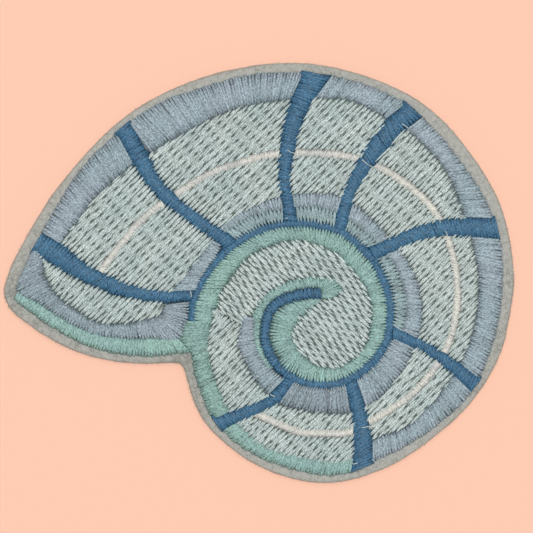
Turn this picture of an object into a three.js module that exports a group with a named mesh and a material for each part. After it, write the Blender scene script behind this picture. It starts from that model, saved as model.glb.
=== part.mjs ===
// Embroidered felt patch in the shape of a spiral sea-snail shell.
// It lies face up on its flat back. Millimetres, +X right, +Y up the motif, +Z out of its face.
import * as THREE from 'three';

// Layers, from the back of the patch to its face
const filmThickness = 0.15;
const filmInset = 0.1;
const feltThickness = 1.05;
const feltTop = filmThickness + feltThickness;
const feltEdgeRound = 0.12;

// Heights of the stitched areas above the felt: at their edges, and on top
const fillHeights = { edge: 0.22, top: 0.4 };
const bandHeights = { edge: 0.2, top: 0.52 };
const paleHeights = { edge: 0.18, top: 0.36 };
const creamHeights = { edge: 0.2, top: 0.42 };
const blueHeights = { edge: 0.26, top: 0.7 };
const grooveFloor = 0.08;

// Clear space between neighbouring stitched areas, and the length of one facet along them
const threadGap = 0.12;
const facetLength = 1.7;
const fewestFacets = 4;

// The cream line, the wall of the groove it lies in, and the sloped share of a fill's width
const creamWidth = 0.66;
const grooveWall = 0.08;
const margin = 0.06;

// A satin row reaches its top at this share of its width, and its free ends are this much lower
const shoulder = 0.28;
const endDrop = 0.55;

// A rib's outer end laps over the rim of the stitching by this much
const ribOverhang = 0.25;

// Facets along the spiral for each span of its course, and places of the rows at its hook,
// counted in spans from its outer end
const facetsPerSpan = 1.5;
const hookStart = 22;
const seamStart = 25.4;

// Steps along a line where it is measured, and where two lines are brought to meet
const measuringSteps = 400;
const edgeSteps = 40;
const lineSteps = 8;
const meetingRounds = 8;
const middleRadius = 15;

// Points are measured from the eye of the spiral, with +X right and +Y up.
// The cut edge of the felt, once round clockwise from the tip of the mouth
const feltOutline = [
  [-31.5, 3.2], [-30.9, 5.5], [-28.9, 9.4], [-26, 13.8], [-20.1, 20.1], [-14.2, 23.5],
  [-8.3, 25.2], [-2.5, 25.7], [3.4, 24.6], [9.3, 21.9], [13.2, 18.2], [17.2, 11.7],
  [18.5, 4.9], [18.1, 1], [17.2, -2.7], [15.2, -6.4], [12.2, -9.7], [6.4, -13.8],
  [0, -15.5], [-6.4, -13.9], [-11.3, -10.2], [-12.9, -7.5], [-13.5, -5.5], [-13.9, -4.2],
  [-14.6, -3.7], [-18.1, -3.8], [-22.1, -3.3], [-26, -1.9], [-28.9, -0.1], [-30.9, 1.6],
];

// Lines that wind clockwise through all chambers: the rim of the stitching, the two edges
// of the pale fill, and the cream line in the middle of it
const outerEdge = [
  [-28.9, 6.9], [-26.9, 10.7], [-24, 15.2], [-21.5, 17.8], [-18.9, 20.1], [-16.2, 21.8],
  [-13.2, 22.9], [-7.4, 24.5], [-2, 24.7], [3.4, 23.7], [8.4, 21.3], [12.2, 17.4],
  [15.7, 12.2], [17.2, 7.8], [17.2, 2], [16, -3.1], [13.7, -7.3], [8.3, -11.6],
  [4.9, -13.3], [2.5, -14.4], [0, -14.7], [-2.5, -14.3], [-5.4, -13.4], [-8.3, -11.9],
  [-9.9, -10.5], [-11.5, -8.3],
];
const fillOuterEdge = [
  [-27.9, 5.3], [-25.7, 8.3], [-22.1, 12.9], [-19.1, 15.4], [-14.2, 18.6], [-10.3, 20.6],
  [-7.4, 21.5], [-3.6, 22.1], [-0.7, 22.2], [2.5, 22], [5.7, 20.4], [8.4, 18.8],
  [11.6, 15.4], [13.5, 10.9], [14.9, 5.4], [14.6, 0], [12.4, -5.1], [9.3, -8.8],
  [7.4, -10.2], [4.9, -11.1], [2.5, -13], [0.5, -13.2], [-2.5, -12.8], [-5.4, -12],
  [-8.3, -9.7], [-10.4, -5.9], [-11.3, -2], [-11.1, -0.5], [-10.6, 1.5],
];
const creamCourse = [
  [-22.1, 5.2], [-19.6, 8.5], [-17.6, 10.7], [-14.4, 13], [-11.8, 14.6], [-8.8, 15.8],
  [-4.8, 16.8], [0, 16.8], [2.9, 16.4], [6.9, 14.6], [11, 10.7], [12.9, 4.4],
  [12.2, -1.5], [9.1, -6.2], [4.7, -9.3], [2.5, -10.5], [-0.5, -10.6], [-2.5, -10.5],
  [-6.6, -8.8],
];
const fillInnerEdge = [
  [-16.2, 2.4], [-14.9, 3.6], [-11.8, 7.5], [-10.1, 9.7], [-8.3, 11.1], [-4.4, 12.7],
  [-0.7, 13], [1.5, 12.7], [3.4, 11.5], [6.2, 8.8], [8.6, 5.4], [9.6, 1.5],
  [8.5, -3.1], [5.4, -7.2], [2.5, -8.7], [-2.5, -8.4], [-4.6, -7.8], [-6.9, -5.4],
  [-8.3, -2.9], [-8.7, -2], [-8.6, -1], [-8.3, -0.1],
];

// The blue spiral line from its outer end to the hook at the eye: centre x and y, width,
// and width of the pale row on its outer side
const spiralCourse = [
  [-13.1, 0.5, 0.88, 0], [-12.9, 2.2, 0.93, 0], [-12.4, 3.5, 0.98, 0], [-11.6, 5, 0.98, 0],
  [-10.5, 6.4, 0.98, 0], [-9.1, 7.7, 0.98, 0.98], [-7.4, 8.8, 0.98, 0.98],
  [-5.4, 9.6, 0.98, 0.98], [-3.4, 9.9, 0.95, 0.98], [-1, 9.8, 0.95, 1.15],
  [1.5, 9.1, 0.98, 0.88], [3.2, 7.9, 1.03, 0.7], [4.6, 6.4, 1.08, 0.78],
  [5.7, 4.3, 1.08, 0.98], [6.3, 2.2, 1.08, 0.88], [6.3, 0.3, 1.13, 0.7],
  [5.9, -1.8, 1.18, 0], [4.7, -3.6, 1.18, 0], [3.1, -4.9, 1.13, 0], [1, -5.8, 1.08, 0],
  [-1.2, -5.8, 1.08, 0], [-3.1, -5.2, 1.08, 0], [-4.8, -3.8, 1.08, 0.5],
  [-5.8, -2, 1.03, 0.7], [-5.9, -0.1, 1.03, 0.78], [-5.4, 1.4, 1.08, 0.78],
  [-4.4, 2.4, 1.13, 0.78], [-3.2, 2.8, 1.18, 0.88], [-1.9, 3.1, 1.18, 0.93],
  [-0.5, 3.1, 1.18, 0.88],
];

// Inner edge of the green row beside the spiral: each point faces the one above
const greenInnerEdge = [
  [-11.1, 0.4], [-10.5, 1.9], [-10.2, 3.2], [-9.4, 4.6], [-8.4, 5.8], [-7.3, 6.9],
  [-6, 7.6], [-4.5, 8.1], [-2.9, 8.3], [-1.1, 8], [0.6, 7.3], [2, 6.1], [3.1, 4.9],
  [4, 3.6], [4.5, 2.1], [4.5, 0.3], [4.1, -1.7], [3.2, -2.9], [2.2, -3.8], [0.7, -4.2],
  [-0.8, -4], [-2.1, -3], [-2.8, -2.2], [-3.3, -1.4], [-3.2, -0.5], [-2.9, 0.1],
  [-2.4, 0.8], [-1.9, 1.4], [-1.2, 1.9], [-0.4, 2.4],
];

// The eight blue ribs, clockwise from the mouth, each from its outer end inwards:
// centre x and y, and width
const ribCourses = [
  [[-29.5, 8.7, 2.5], [-26, 6.8, 2.4], [-24, 5.4, 1.95], [-20.1, 3.6, 1.65],
    [-18.1, 3.1, 1.35], [-15.7, 2.8, 1.2], [-12.9, 3, 1.2]],
  [[-20.6, 20.8, 1.8], [-18.9, 17.7, 1.95], [-17.8, 15.7, 2], [-16.8, 14, 1.7],
    [-15.4, 12.5, 1.75], [-13.7, 11.1, 1.5], [-10.8, 9, 1.6], [-8.6, 7.5, 1.65]],
  [[-0.2, 25.6, 2.8], [-1.3, 23.9, 2.7], [-2.4, 21.8, 2.3], [-3.3, 19.4, 2],
    [-3.7, 17.2, 1.85], [-4, 14.7, 1.45], [-3.8, 12.7, 1.3], [-3.3, 9.8, 1.65]],
  [[9.8, 22.2, 2.3], [8.6, 21.1, 2.35], [6, 18.6, 2.3], [4, 15.9, 1.95], [2.4, 13.1, 1.5],
    [1.3, 9.1, 1.45]],
  [[18, 9.5, 2.2], [16, 9.5, 2.35], [13.7, 9.6, 2.15], [10.5, 9.4, 1.8], [7.2, 8.2, 1.55],
    [4, 6.7, 1.65]],
  [[15.9, -6.8, 1.9], [13.9, -5.2, 1.7], [11.8, -3.5, 1.4], [9.7, -2.1, 1.2],
    [7.9, -1.3, 1.25], [5.9, -0.4, 1.3]],
  [[3.5, -15.4, 2.5], [3.7, -12.4, 2.25], [3.4, -9.1, 1.8], [3, -7.4, 1.55], [2.3, -4.8, 1.55]],
  [[-11.9, -10.2, 1.75], [-10.2, -9.5, 1.7], [-8.2, -8.7, 1.55], [-5.8, -7.7, 1.35],
    [-4.7, -7, 1.3], [-3.2, -4.8, 1.35]],
];

// Rows at the mouth: two edges each, with the points of a pair facing each other
const lipBand = {
  low: [[-30.4, 2.6], [-28.9, 1.3], [-26, -0.6], [-23, -2.1], [-20.1, -2.8], [-17.2, -3],
    [-13.4, -2.6]],
  high: [[-30.2, 3.1], [-28.1, 1.9], [-25.4, 0.2], [-22.5, -1], [-19.9, -1.4], [-17.2, -1.4],
    [-14.5, -1.3]],
};
const mouthBand = {
  low: [[-28.8, 6.6], [-29.7, 4.9], [-30.1, 3.4], [-28, 2.2], [-25.3, 0.5], [-22.5, -0.8],
    [-19.9, -1.2], [-17.2, -1.2], [-14.6, -1.1], [-14.3, 0.1], [-13.8, 1.1], [-13.8, 2]],
  high: [[-27.7, 5.9], [-27.3, 4.6], [-26.9, 3.1], [-26, 2], [-24.5, 1], [-22.2, 0.2],
    [-19.9, 0.1], [-17.8, 0.5], [-16.5, 0.8], [-16.1, 1.1], [-15.9, 1.5], [-15.7, 1.9]],
};
// The fill of the mouth follows this share of the band's upper edge
const mouthFill = { from: 0.02, to: 0.94, steps: 20 };
const leftBand = {
  low: [[-11.5, -8.3], [-12.2, -6.5], [-12.8, -4.7], [-13.2, -2.7], [-14.1, -1.7],
    [-14.1, -0.7], [-13.6, 0.3]],
  high: [[-9.7, -7.6], [-10.5, -5.9], [-11.1, -3.9], [-11.4, -2.2], [-11.3, -1.3],
    [-11.2, -0.5], [-11.1, 0.3]],
};

// The green row turns round the end of the hook, and the fill of the inner whorl runs
// round it and ends on a slanting seam
const hookTurn = {
  low: [[-0.3, 3.8], [-0.3, 3.2], [-0.2, 2.6]],
  high: [[0.2, 4.5], [0.9, 4.3], [1.4, 3.9]],
};
const fillRoundHook = [[-0.1, 2.3], [1.1, 3.1], [1.7, 3.8], [1.4, 4.3], [0.6, 4.7]];
const fillSeam = [[-7.4, 1.4], [-8.1, 0.25]];
const seamLine = [[-10.8, 1.4], [-8.2, -0.2]];

// The mouth is chamber 1. The last chamber has no cream line, and some have a pale row
// between the spiral and their inner band.
const lastChamber = 9;
const paleChambers = { first: 3, last: 6 };

const colours = {
  film: 0xc9c6bd,
  felt: 0xacada6,
  blue: 0x547a92,
  lavender: 0x9dabb2,
  seafoam: 0x93aca6,
  pale: 0x8aa3a6,
  fill: 0xa8b5b1,
  cream: 0xbec2bd,
};
const patch = new THREE.Group();

// Adds one named solid to the patch
function addPiece(name, geometry, colour, roughness = 0.6) {
  const material = new THREE.MeshStandardMaterial({ color: colour, roughness, metalness: 0 });
  const piece = new THREE.Mesh(geometry, material);
  piece.name = name;
  patch.add(piece);
}

// A smooth curve through measured points
function curveThrough(points, closed = false) {
  const stops = points.map(([x, y]) => new THREE.Vector3(x, y, 0));
  return new THREE.CatmullRomCurve3(stops, closed, 'centripetal');
}

// Angle swept clockwise from the left-hand side, on the turn that is nearest to a known angle
function sweepOf(x, y, near) {
  const sweep = Math.atan2(y, -x);
  const fullTurn = 2 * Math.PI;
  return sweep + fullTurn * Math.round((near - sweep) / fullTurn);
}

// Reads a value from sorted [position, value] pairs by straight interpolation
function readAt(pairs, position) {
  let i = 1;
  while (i < pairs.length - 1 && pairs[i][0] < position) i += 1;
  const [before, after] = [pairs[i - 1], pairs[i]];
  const share = (position - before[0]) / (after[0] - before[0]);
  return THREE.MathUtils.lerp(before[1], after[1], share);
}

// A winding line as a function that gives its radius at a sweep angle
function radiusLine(places) {
  let near = 0;
  const pairs = places.map(({ x, y }) => {
    near = sweepOf(x, y, near);
    return [near, Math.hypot(x, y)];
  });
  return (sweep) => readAt(pairs, sweep);
}

// A line that crosses the chambers as a function that gives its sweep angle at a radius
function sweepLine(places, near) {
  const pairs = places.map(({ x, y }) => [Math.hypot(x, y), sweepOf(x, y, near)]);
  pairs.sort((a, b) => a[0] - b[0]);
  return (radius) => readAt(pairs, radius);
}

// A row along a course whose points give x, y and widths: place(t, offset) is the point
// at share t of the course, offset to the left of its direction
function courseOf(points) {
  const curve = curveThrough(points);
  const spans = points.length - 1;
  return {
    spans,
    place(t, offset) {
      const at = curve.getPoint(t);
      const along = curve.getTangent(t);
      return { x: at.x - along.y * offset, y: at.y + along.x * offset };
    },
    width(t, column) {
      const pairs = points.map((point, i) => [i / spans, point[column]]);
      return readAt(pairs, t);
    },
  };
}

// Samples a function of share t at equal steps
function samplesOf(count, from, to, place) {
  const steps = Array.from({ length: count + 1 }, (_, i) => from + ((to - from) * i) / count);
  return steps.map(place);
}

// A cube of facets bent on to the felt: place(u, row) gives x, y and the height of its top.
// Faces are turned to point outwards where the bend mirrors them.
function bentBlock(facets, rowCount, place) {
  const block = new THREE.BoxGeometry(1, 1, 1, facets, rowCount - 1, 1);
  const corners = block.attributes.position;
  for (let i = 0; i < corners.count; i += 1) {
    const u = corners.getX(i) + 0.5;
    const row = Math.round((corners.getY(i) + 0.5) * (rowCount - 1));
    const { x, y, height } = place(u, row);
    corners.setXYZ(i, x, y, corners.getZ(i) > 0 ? feltTop + height : feltTop);
  }
  const [a, b, c] = [place(0.5, 0), place(0.55, 0), place(0.5, 1)];
  const mirrored = (b.x - a.x) * (c.y - a.y) - (b.y - a.y) * (c.x - a.x) < 0;
  if (mirrored) block.index.array.reverse();
  block.computeVertexNormals();
  return block;
}

// A satin row between two edges, arched across: edges are functions of share u
function satinRow(facets, lowEdge, highEdge, heights, drop = { start: 1, end: 1 }) {
  const rows = [[0, heights.edge], [shoulder, heights.top], [1 - shoulder, heights.top],
    [1, heights.edge]];
  return bentBlock(facets, rows.length, (u, row) => {
    const [share, height] = rows[row];
    const [low, high] = [lowEdge(u), highEdge(u)];
    const lowered = (u === 0 ? drop.start : 1) * (u === 1 ? drop.end : 1);
    return {
      x: THREE.MathUtils.lerp(low.x, high.x, share),
      y: THREE.MathUtils.lerp(low.y, high.y, share),
      height: height * lowered,
    };
  });
}

// Number of facets for a length
function facetsFor(length) {
  return Math.max(fewestFacets, Math.round(length / facetLength));
}

// A flat area of stitches inside an outline, with sloped edges and a flat underside
function fillInside(outline, heights) {
  const slope = heights.top - heights.edge;
  const area = new THREE.Shape(outline.map(({ x, y }) => new THREE.Vector2(x, y)));
  const pad = new THREE.ExtrudeGeometry(area, {
    depth: heights.edge,
    bevelEnabled: true,
    bevelThickness: slope,
    bevelSize: slope,
    bevelOffset: -slope,
    bevelSegments: 1,
  });
  const corners = pad.attributes.position;
  for (let i = 0; i < corners.count; i += 1) {
    corners.setZ(i, feltTop + Math.max(0, corners.getZ(i)));
  }
  return pad;
}

// The blue spiral and the winding lines beside it
const spiral = courseOf(spiralCourse);
const spiralSamples = 6 * spiral.spans;
const spiralSide = (offset) => samplesOf(spiralSamples, 0, 1, (t) => spiral.place(t, offset(t)));
const halfLine = (t) => spiral.width(t, 2) / 2;
const spiralRim = radiusLine(spiralSide(halfLine));
const paleRim = radiusLine(spiralSide((t) => halfLine(t) + spiral.width(t, 3)));
const greenEdge = courseOf(greenInnerEdge);

const windingLine = (points) => (
  radiusLine(curveThrough(points).getPoints(lineSteps * points.length))
);
const rimLine = windingLine(outerEdge);
const fillOuterLine = windingLine(fillOuterEdge);
const fillInnerLine = windingLine(fillInnerEdge);
const creamLine = windingLine(creamCourse);

// Each rib has an edge on its earlier and one on its later side, going clockwise
const ribs = ribCourses.map((points) => {
  const course = courseOf(points);
  const [outerX, outerY] = points[0];
  const near = sweepOf(outerX, outerY, Math.PI);
  const edge = (side) => (t) => course.place(t, (side * course.width(t, 2)) / 2);
  return { early: edge(-1), late: edge(1), near };
});

// The shares between which an edge of a rib lies inside the rim and outside the spiral line
function reachOf(edge, near) {
  const shares = samplesOf(measuringSteps, 0, 1, (t) => t);
  const inside = shares.filter((t) => {
    const { x, y } = edge(t);
    const sweep = sweepOf(x, y, near);
    const radius = Math.hypot(x, y);
    return radius <= rimLine(sweep) + ribOverhang && radius >= spiralRim(sweep) + threadGap;
  });
  return [inside[0], inside[inside.length - 1]];
}

// The part of the winding rows between two ribs. inner and outer give radii, and
// place(u, v) the point at share u from the first rib and share v outwards.
function chamber(startEdge, endEdge, inner, outer) {
  const radiusAt = (sweep, v) => THREE.MathUtils.lerp(inner(sweep), outer(sweep), v);
  const meet = (edge, v, side) => {
    let sweep = edge(radiusAt(edge(middleRadius), v));
    for (let round = 0; round < meetingRounds; round += 1) {
      const radius = radiusAt(sweep, v);
      sweep = edge(radius) + (side * threadGap) / radius;
    }
    return sweep;
  };
  return (u, v) => {
    const sweep = THREE.MathUtils.lerp(meet(startEdge, v, 1), meet(endEdge, v, -1), u);
    const radius = radiusAt(sweep, v);
    return { x: -radius * Math.cos(sweep), y: radius * Math.sin(sweep), sweep };
  };
}

const edgeSamples = (edge) => samplesOf(edgeSteps, 0, 1, edge);
const seamSweep = sweepLine(curveThrough(seamLine).getPoints(lineSteps), 2 * Math.PI);
const chamberEdges = ribs.map((rib, i) => ({
  number: i + 2,
  start: sweepLine(edgeSamples(rib.late), rib.near),
  end: i < ribs.length - 1
    ? sweepLine(edgeSamples(ribs[i + 1].early), ribs[i + 1].near)
    : seamSweep,
}));

const inset = (line, amount) => (sweep) => line(sweep) + amount;
const halfGap = threadGap / 2;

// Length of a chamber's row, for its number of facets
function rowLength(place) {
  const stops = samplesOf(lineSteps, 0, 1, (u) => place(u, 0.5));
  const steps = stops.slice(1).map(({ x, y }, i) => Math.hypot(x - stops[i].x, y - stops[i].y));
  return steps.reduce((sum, step) => sum + step, 0);
}

// A satin row that fills a chamber between two winding lines
function addChamberRow(name, edges, inner, outer, heights, colour) {
  const place = chamber(edges.start, edges.end, inset(inner, halfGap), inset(outer, -halfGap));
  const facets = facetsFor(rowLength(place));
  addPiece(name, satinRow(facets, (u) => place(u, 0), (u) => place(u, 1), heights), colour);
}

// The course of the cream line through a chamber
function creamPlace(edges) {
  const [low, high] = [inset(creamLine, -creamWidth / 2), inset(creamLine, creamWidth / 2)];
  return chamber(edges.start, edges.end, low, high);
}

// The pale fill of a chamber, with a groove for its cream line where it has one.
// Each row has its place in a strip, the share across that strip, and its height.
function addChamberFill(edges, grooved) {
  const [inner, outer] = [inset(fillInnerLine, halfGap), inset(fillOuterLine, -halfGap)];
  const fill = chamber(edges.start, edges.end, inner, outer);
  const cream = creamPlace(edges);
  const { edge, top } = fillHeights;
  const [gap, wall] = [halfGap / creamWidth, (halfGap + grooveWall) / creamWidth];
  const rowsAt = (u) => {
    const { sweep } = cream(u, 0.5);
    const depth = outer(sweep) - inner(sweep);
    const course = grooved ? (creamLine(sweep) - inner(sweep)) / depth : 0.5;
    const halfGroove = grooved ? creamWidth / depth : 0;
    const groove = [
      [cream, -wall, top], [cream, -gap, grooveFloor],
      [cream, 1 + gap, grooveFloor], [cream, 1 + wall, top],
    ];
    return [
      [fill, 0, edge], [fill, margin, top], [fill, (margin + course - halfGroove) / 2, top],
      ...(grooved ? groove : []),
      [fill, (1 - margin + course + halfGroove) / 2, top], [fill, 1 - margin, top], [fill, 1, edge],
    ];
  };
  const block = bentBlock(facetsFor(rowLength(fill)), rowsAt(0).length, (u, row) => {
    const [strip, share, height] = rowsAt(u)[row];
    return { ...strip(u, share), height };
  });
  addPiece(`chamber_fill_${edges.number}`, block, colours.fill);
}

// The cream line in the groove
function addCreamLine(edges) {
  const place = creamPlace(edges);
  const fill = chamber(edges.start, edges.end, fillInnerLine, fillOuterLine);
  const facets = facetsFor(rowLength(fill));
  const row = satinRow(facets, (u) => place(u, 0), (u) => place(u, 1), creamHeights);
  const corners = row.attributes.position;
  for (let i = 0; i < corners.count; i += 1) {
    corners.setZ(i, Math.max(corners.getZ(i), feltTop + grooveFloor));
  }
  addPiece(`cream_line_${edges.number}`, row, colours.cream);
}

// A row between two measured edges whose points face each other
function addMeasuredRow(name, row, colour, heights = bandHeights) {
  const [low, high] = [curveThrough(row.low), curveThrough(row.high)];
  const facets = facetsFor(low.getLength());
  const at = (curve) => (u) => curve.getPoint(u);
  addPiece(name, satinRow(facets, at(low), at(high), heights), colour);
}

// Felt sheet and the heat-seal film on its back
const cutEdge = curveThrough(feltOutline, true).getPoints(4 * feltOutline.length).slice(0, -1);

function addBase() {
  const sheet = new THREE.Shape(cutEdge.map(({ x, y }) => new THREE.Vector2(x, y)));
  const felt = new THREE.ExtrudeGeometry(sheet, {
    depth: feltThickness - feltEdgeRound,
    bevelEnabled: true,
    bevelThickness: feltEdgeRound,
    bevelSize: feltEdgeRound,
    bevelOffset: -feltEdgeRound,
    bevelSegments: 1,
  });
  const corners = felt.attributes.position;
  for (let i = 0; i < corners.count; i += 1) {
    corners.setZ(i, filmThickness + Math.max(0, corners.getZ(i)));
  }
  addPiece('felt_base', felt, colours.felt, 0.95);

  const filmOutline = cutEdge.map((point, i) => {
    const before = cutEdge.at(i - 1);
    const after = cutEdge[(i + 1) % cutEdge.length];
    const along = new THREE.Vector2(after.x - before.x, after.y - before.y).normalize();
    return new THREE.Vector2(point.x + along.y * filmInset, point.y - along.x * filmInset);
  });
  const film = new THREE.ExtrudeGeometry(new THREE.Shape(filmOutline), {
    depth: filmThickness,
    bevelEnabled: false,
  });
  addPiece('heat_seal_film', film, colours.film, 0.4);
}

function addRibs() {
  ribs.forEach(({ early, late, near }, i) => {
    const [earlyReach, lateReach] = [reachOf(early, near), reachOf(late, near)];
    const row = satinRow(
      facetsFor(curveThrough(ribCourses[i]).getLength()),
      (u) => early(THREE.MathUtils.lerp(...earlyReach, u)),
      (u) => late(THREE.MathUtils.lerp(...lateReach, u)),
      blueHeights,
      { start: endDrop, end: 1 },
    );
    addPiece(`rib_${i + 1}`, row, colours.blue);
  });
}

// The blue spiral, the green row inside it and the pale row outside its inner turn
function addSpiral() {
  const blue = satinRow(
    Math.round(facetsPerSpan * spiral.spans),
    (t) => spiral.place(t, -halfLine(t)),
    (t) => spiral.place(t, halfLine(t)),
    blueHeights,
    { start: endDrop, end: endDrop },
  );
  addPiece('spiral_line', blue, colours.blue);

  const green = satinRow(
    Math.round(facetsPerSpan * spiral.spans),
    (t) => greenEdge.place(t, halfGap),
    (t) => spiral.place(t, -halfLine(t) - threadGap),
    bandHeights,
  );
  addPiece('inner_whorl_green', green, colours.seafoam);

  const hookSteps = 2 * (spiral.spans - hookStart);
  const alongHook = samplesOf(hookSteps, hookStart / spiral.spans, 1, (t) => t);
  const low = alongHook.map((t) => spiral.place(t, halfLine(t) + threadGap));
  const high = alongHook.map((t) => spiral.place(t, halfLine(t) + spiral.width(t, 3) - halfGap));
  const pairs = {
    low: [...low.map(({ x, y }) => [x, y]), ...hookTurn.low],
    high: [...high.map(({ x, y }) => [x, y]), ...hookTurn.high],
  };
  addMeasuredRow('hook_green', pairs, colours.seafoam, paleHeights);

  const seamShare = seamStart / spiral.spans;
  const inside = samplesOf(2 * spiral.spans, 1 / spiral.spans, 1, (t) => greenEdge.place(t, -halfGap));
  const back = samplesOf(hookSteps, 1, seamShare, (t) => (
    spiral.place(t, halfLine(t) + spiral.width(t, 3) + halfGap)
  ));
  const named = (points) => points.map(([x, y]) => ({ x, y }));
  const outline = [...inside, ...named(fillRoundHook), ...back, ...named(fillSeam)];
  addPiece('inner_whorl_fill', fillInside(outline, fillHeights), colours.fill);
}

function addChambers() {
  chamberEdges.forEach((edges) => {
    const { number } = edges;
    const outerColour = number === 8 ? colours.seafoam : colours.lavender;
    const grooved = number < lastChamber;
    if (grooved) {
      const name = `outer_band_${number}`;
      addChamberRow(name, edges, fillOuterLine, rimLine, bandHeights, outerColour);
      addCreamLine(edges);
    }
    addChamberFill(edges, grooved);
    const innerName = `inner_band_${number}`;
    addChamberRow(innerName, edges, paleRim, fillInnerLine, bandHeights, colours.lavender);
    if (number >= paleChambers.first && number <= paleChambers.last) {
      addChamberRow(`pale_band_${number}`, edges, spiralRim, paleRim, paleHeights, colours.pale);
    }
  });
  addMeasuredRow('outer_band_9', leftBand, colours.seafoam);
}

function addMouth() {
  addMeasuredRow('lip_band', lipBand, colours.seafoam);
  addMeasuredRow('mouth_band', mouthBand, colours.lavender);
  const bandEdge = courseOf(mouthBand.high);
  const { from, to, steps } = mouthFill;
  const lower = samplesOf(steps, from, to, (t) => bandEdge.place(t, threadGap));
  const [leftX, rightX] = [lower[0].x + threadGap, lower[steps].x - threadGap];
  const ribEdge = samplesOf(steps, 1, 0, ribs[0].early)
    .filter(({ x }) => x > leftX && x < rightX)
    .map(({ x, y }) => ({ x, y: y - 1.5 * threadGap }));
  addPiece('chamber_fill_1', fillInside([...lower, ...ribEdge], fillHeights), colours.fill);
}

addBase();
addMouth();
addChambers();
addRibs();
addSpiral();

// The origin goes to the middle of the back
const middle = new THREE.Box3().setFromPoints(cutEdge).getCenter(new THREE.Vector3());
patch.position.set(-middle.x, -middle.y, 0);

export default patch;
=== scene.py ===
import math

import bmesh
import bpy
import numpy as np
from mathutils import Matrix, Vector, noise
from mathutils.geometry import delaunay_2d_cdt


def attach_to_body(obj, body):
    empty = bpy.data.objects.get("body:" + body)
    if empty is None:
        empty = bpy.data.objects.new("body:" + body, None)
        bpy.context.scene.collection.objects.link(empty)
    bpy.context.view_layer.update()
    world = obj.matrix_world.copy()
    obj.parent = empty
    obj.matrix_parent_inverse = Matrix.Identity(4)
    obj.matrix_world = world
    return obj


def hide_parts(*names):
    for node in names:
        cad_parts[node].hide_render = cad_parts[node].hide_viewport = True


# An embroidered felt patch with a spiral sea-snail shell on it, seen from straight above.
# Threads are laid stitch by stitch in the places of the part's solids.

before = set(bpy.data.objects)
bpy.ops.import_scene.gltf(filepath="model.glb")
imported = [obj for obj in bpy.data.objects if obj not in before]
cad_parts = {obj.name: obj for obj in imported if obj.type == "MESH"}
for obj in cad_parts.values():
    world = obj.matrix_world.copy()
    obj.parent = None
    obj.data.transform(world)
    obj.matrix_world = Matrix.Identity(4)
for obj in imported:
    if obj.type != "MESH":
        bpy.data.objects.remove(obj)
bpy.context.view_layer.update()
mm = 0.001
stepsPerSpan = 24
tiny = 1e-6  # keeps divisions by very short lengths in bounds

# Tables are in millimetres from the eye of the spiral, and the eye lies here on the part
spiralEye = np.array([6.5, -5.106])
feltTop = 1.2


# Lines

# the points of a smooth line, evenly many in each span between two of the places it goes through
def smoothLine(places, closed=False):
    stops = np.array([place[:2] for place in places], float)
    if closed:
        around = np.vstack([stops[-1:], stops, stops[:2]])
    else:
        around = np.vstack([2 * stops[0] - stops[1], stops, 2 * stops[-1] - stops[-2]])
    shares = np.linspace(0, 1, stepsPerSpan, endpoint=False)[:, None]
    pieces = []
    for before, start, end, after in zip(around, around[1:], around[2:], around[3:]):
        gaps = [max(np.linalg.norm(b - a), tiny) ** 0.5
                for a, b in ((before, start), (start, end), (end, after))]
        leave = ((start - before) / gaps[0] - (end - before) / (gaps[0] + gaps[1])
                 + (end - start) / gaps[1]) * gaps[1]
        arrive = ((end - start) / gaps[1] - (after - start) / (gaps[1] + gaps[2])
                  + (after - end) / gaps[2]) * gaps[1]
        square = 3 * (end - start) - 2 * leave - arrive
        cube = 2 * (start - end) + leave + arrive
        pieces.append(start + shares * (leave + shares * (square + shares * cube)))
    if not closed:
        pieces.append(stops[-1:])
    return np.vstack(pieces)


# a line's points, or a table's rows, at shares of the way from its first row to its last
def readLine(rows, shares):
    rows = np.array(rows, float)
    steps = np.linspace(0, 1, len(rows))
    return np.stack([np.interp(shares, steps, column) for column in rows.T], axis=-1)


# the direction of a line at each of its points
def headingOf(line, closed=False):
    if closed:
        along = np.roll(line, -1, axis=0) - np.roll(line, 1, axis=0)
    else:
        along = np.gradient(line, axis=0)
    return along / np.linalg.norm(along, axis=1)[:, None]


def leftOf(heading):
    return np.stack([-heading[:, 1], heading[:, 0]], axis=-1)


# a line moved to its left by an offset at each point
def besideLine(line, offset, closed=False):
    return line + leftOf(headingOf(line, closed)) * np.broadcast_to(offset, len(line))[:, None]


# angle swept clockwise from the left-hand side, on the turn nearest to a known angle
def sweepOf(points, near):
    sweep = np.arctan2(points[..., 1], -points[..., 0])
    return sweep + 2 * math.pi * np.round((near - sweep) / (2 * math.pi))


# the radius of a winding line as a function of the sweep angle
def radiusLine(line):
    sweeps = np.unwrap(sweepOf(line, 0.0))
    radii = np.hypot(line[:, 0], line[:, 1])
    order = np.argsort(sweeps)
    return lambda sweep: np.interp(sweep, sweeps[order], radii[order])


# the sweep angle of a line that crosses the chambers as a function of the radius
def sweepLine(line, near):
    radii = np.hypot(line[:, 0], line[:, 1])
    order = np.argsort(radii)
    sweeps = sweepOf(line, near)[order]
    return lambda radius: np.interp(radius, radii[order], sweeps)


# Places of the embroidery, as in the part's solids

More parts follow.
